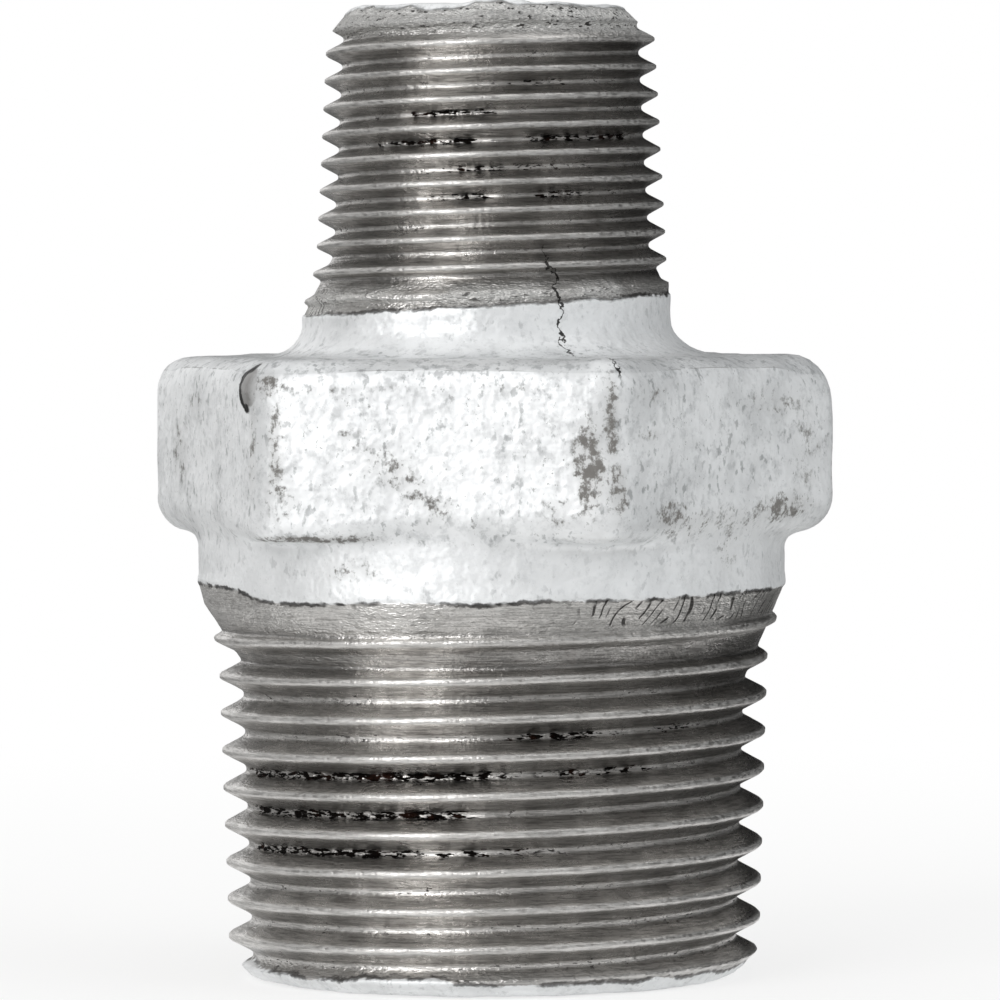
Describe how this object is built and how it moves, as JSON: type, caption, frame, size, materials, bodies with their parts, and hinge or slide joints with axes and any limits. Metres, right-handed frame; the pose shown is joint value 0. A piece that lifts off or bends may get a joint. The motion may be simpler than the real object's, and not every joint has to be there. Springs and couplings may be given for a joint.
{
  "type": "reducing nipple",
  "caption": "Galvanised malleable iron reducing nipple that joins a larger threaded fitting to a smaller one, with a spanner hexagon between its taper threads and a bore right through.",
  "frame": {"origin": "middle of the large end's face, on the bore's axis", "axes": "+Z along the bore from the large end to the small end, with two flats of the hexagon facing -Y and +Y"},
  "size_m": [0.0334, 0.0296, 0.047],
  "materials": {
    "galvanised_iron": "hot-dip zinc over cast iron, with machined threads left bare, grey-brown and oily"
  },
  "bodies": {
    "root": {"reducing_nipple": "galvanised_iron"}
  },
  "joints": []
}
